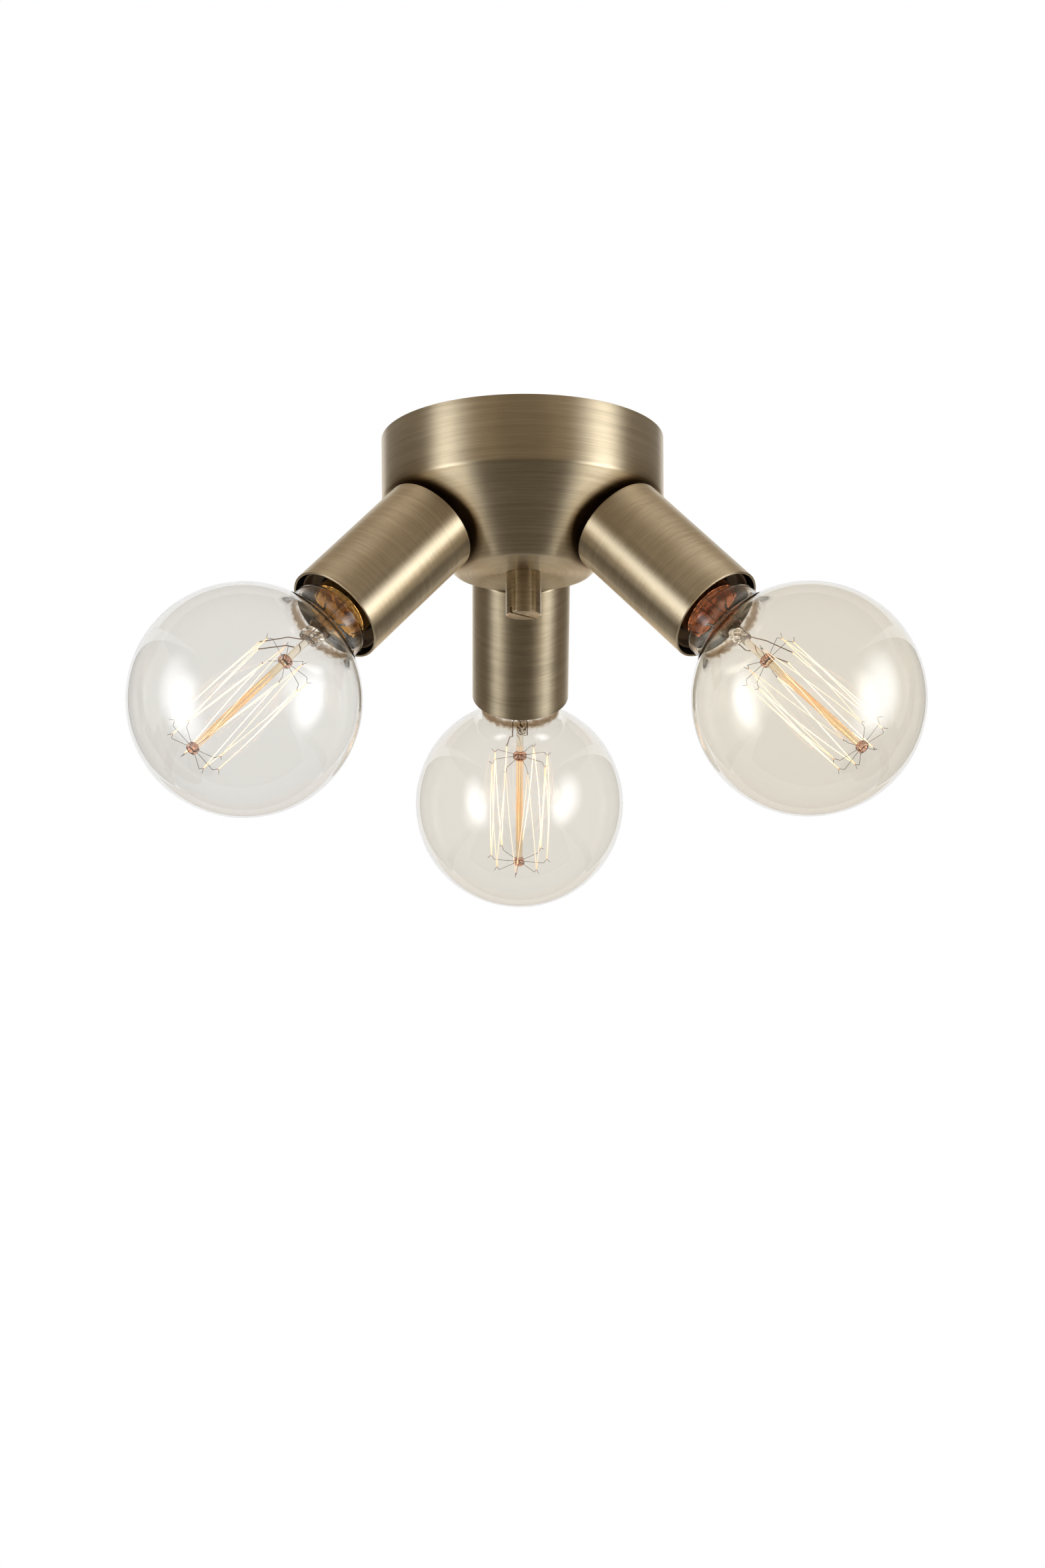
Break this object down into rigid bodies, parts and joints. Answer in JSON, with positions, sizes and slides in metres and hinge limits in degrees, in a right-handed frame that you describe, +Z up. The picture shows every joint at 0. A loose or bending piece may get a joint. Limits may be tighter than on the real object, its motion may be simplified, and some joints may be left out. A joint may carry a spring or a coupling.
{
  "type": "semi flush ceiling light",
  "caption": "Semi flush ceiling light: round stepped canopy in brushed antique brass with angled cylindrical sleeves, each holding a clear globe lamp with a zigzag filament.",
  "frame": {"origin": "middle of the ceiling plane, at the middle of the bracket's two slots", "axes": "+Z up into the ceiling, X along the bracket, the rear lamp towards +Y"},
  "size_m": [0.322, 0.2915, 0.1785],
  "materials": {
    "aged_brass": "brushed antique brass, lacquered, fine lines round each turned form",
    "plated_steel": "zinc plated",
    "tinned_copper": "tinned, satin",
    "white_plastic": "moulded, satin",
    "contact_brass": "bright rolled strip",
    "lead_green_yellow": "flexible insulation, green with a yellow stripe",
    "lead_brown": "flexible insulation",
    "lead_blue": "flexible insulation",
    "holder_black": "moulded, gloss",
    "holder_ceramic": "unglazed",
    "clear_glass": "clear, faintly smoky",
    "cap_brass": "thin pressed brass",
    "cap_insulator": "black glass, gloss",
    "solder": "soft solder, satin",
    "stem_glass": "clear, amber by the filament's light",
    "hook_wire": "dark drawn wire",
    "nickel_wire": "drawn wire",
    "filament_glow": "tungsten at low heat, lit"
  },
  "bodies": {
    "fixture": {"canopy": "aged_brass", "saddle_spacers": "aged_brass", "ceiling_bracket": "plated_steel", "centre_stud": "plated_steel", "stud_nuts": "plated_steel", "stud_washer": "plated_steel", "threaded_nipples": "plated_steel", "nipple_nuts": "plated_steel", "saddle_washers": "plated_steel", "clamp_screws": "plated_steel", "block_screws": "plated_steel", "earth_screw": "plated_steel", "holder_screws": "plated_steel", "earth_tag": "tinned_copper", "terminal_block": "white_plastic", "terminal_barrels": "contact_brass", "centre_contacts": "contact_brass", "side_contacts": "contact_brass", "earth_lead": "lead_green_yellow", "live_leads": "lead_brown", "neutral_leads": "lead_blue", "sleeve_left": "aged_brass", "holder_dome_left": "holder_black", "holder_skirt_left": "holder_black", "holder_insert_left": "holder_ceramic", "sleeve_right": "aged_brass", "holder_dome_right": "holder_black", "holder_skirt_right": "holder_black", "holder_insert_right": "holder_ceramic", "sleeve_rear": "aged_brass", "holder_dome_rear": "holder_black", "holder_skirt_rear": "holder_black", "holder_insert_rear": "holder_ceramic"},
    "fixing_nut": {"fixing_nut": "aged_brass"},
    "lamp_left": {"lamp_glass_left": "clear_glass", "lamp_cap_left": "cap_brass", "cap_insulator_left": "cap_insulator", "tip_contact_left": "solder", "lamp_stem_left": "stem_glass", "filament_hooks_left": "hook_wire", "lead_in_wires_left": "nickel_wire", "filament_left": "filament_glow"},
    "lamp_right": {"lamp_glass_right": "clear_glass", "lamp_cap_right": "cap_brass", "cap_insulator_right": "cap_insulator", "tip_contact_right": "solder", "lamp_stem_right": "stem_glass", "filament_hooks_right": "hook_wire", "lead_in_wires_right": "nickel_wire", "filament_right": "filament_glow"},
    "lamp_rear": {"lamp_glass_rear": "clear_glass", "lamp_cap_rear": "cap_brass", "cap_insulator_rear": "cap_insulator", "tip_contact_rear": "solder", "lamp_stem_rear": "stem_glass", "filament_hooks_rear": "hook_wire", "lead_in_wires_rear": "nickel_wire", "filament_rear": "filament_glow"}
  },
  "joints": [
    {"name": "fixing_nut_unscrew", "type": "slide", "parent": "fixture", "child": "fixing_nut", "axis": [0, 0, -1], "range_m": [0, 0.015]},
    {"name": "lamp_left_unscrew", "type": "slide", "parent": "fixture", "child": "lamp_left", "axis": [-0.6104, -0.3524, -0.7093], "range_m": [0, 0.032]},
    {"name": "lamp_right_unscrew", "type": "slide", "parent": "fixture", "child": "lamp_right", "axis": [0.6104, -0.3524, -0.7093], "range_m": [0, 0.032]},
    {"name": "lamp_rear_unscrew", "type": "slide", "parent": "fixture", "child": "lamp_rear", "axis": [0, 0.7049, -0.7093], "range_m": [0, 0.032]}
  ]
}
